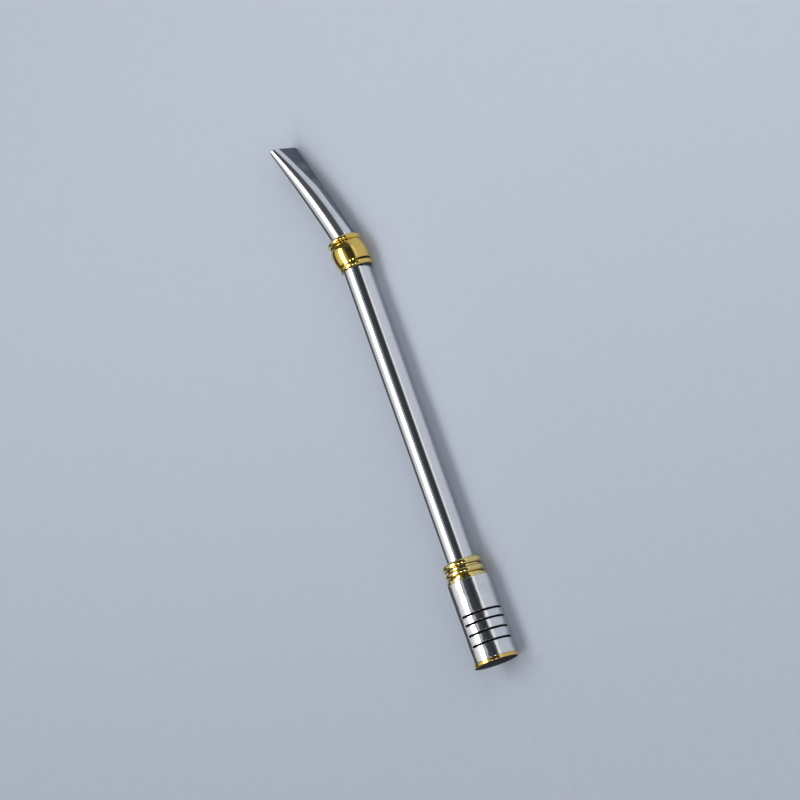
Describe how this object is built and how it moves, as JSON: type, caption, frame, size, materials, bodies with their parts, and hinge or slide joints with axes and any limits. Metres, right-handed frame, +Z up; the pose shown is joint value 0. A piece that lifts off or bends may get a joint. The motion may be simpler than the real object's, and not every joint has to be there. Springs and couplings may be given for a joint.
{
  "type": "filter straw",
  "caption": "Metal drinking straw with a bent, flattened mouthpiece, turned collars and a slotted filter barrel that unscrews for cleaning.",
  "frame": {"origin": "centre of the bottom cap's flat outer face, on the straight tube's axis", "axes": "+X along the straight tube towards the mouthpiece, +Y the way the mouthpiece bends, +Z up from the table that the straw lies on"},
  "size_m": [0.1798, 0.0217, 0.0144],
  "materials": {
    "steel_mouthpiece": "mirror polished stainless steel",
    "steel_tube": "mirror polished stainless steel",
    "steel_barrel": "mirror polished stainless steel with fine marks of use",
    "brass_ball": "polished brass",
    "brass_collar": "polished brass",
    "brass_cap": "polished brass",
    "seal_rubber": "moulded, matt"
  },
  "bodies": {
    "straw": {"mouthpiece_tube": "steel_mouthpiece", "ball_shell": "brass_ball", "ball_upper_bead": "brass_ball", "ball_lower_bead": "brass_ball", "main_tube": "steel_tube", "lower_collar": "brass_collar", "collar_upper_bead": "brass_collar", "collar_lower_bead": "brass_collar"},
    "seal": {"seal_ring": "seal_rubber"},
    "filter": {"barrel_bush": "brass_collar", "filter_barrel": "steel_barrel", "bottom_cap": "brass_cap"}
  },
  "joints": [
    {"name": "filter_advance", "type": "slide", "parent": "straw", "child": "seal", "axis": [-1, 0, 0], "range_m": [0, 0.00376]},
    {"name": "filter_turn", "type": "hinge", "parent": "seal", "child": "filter", "pos_m": [0.013, 0, 0], "axis": [-1, 0, 0], "range_deg": [0, 1080]}
  ],
  "couplings": [
    {"joint": "filter_advance", "follows": "filter_turn", "m_per_rad": 0.00019894}
  ]
}
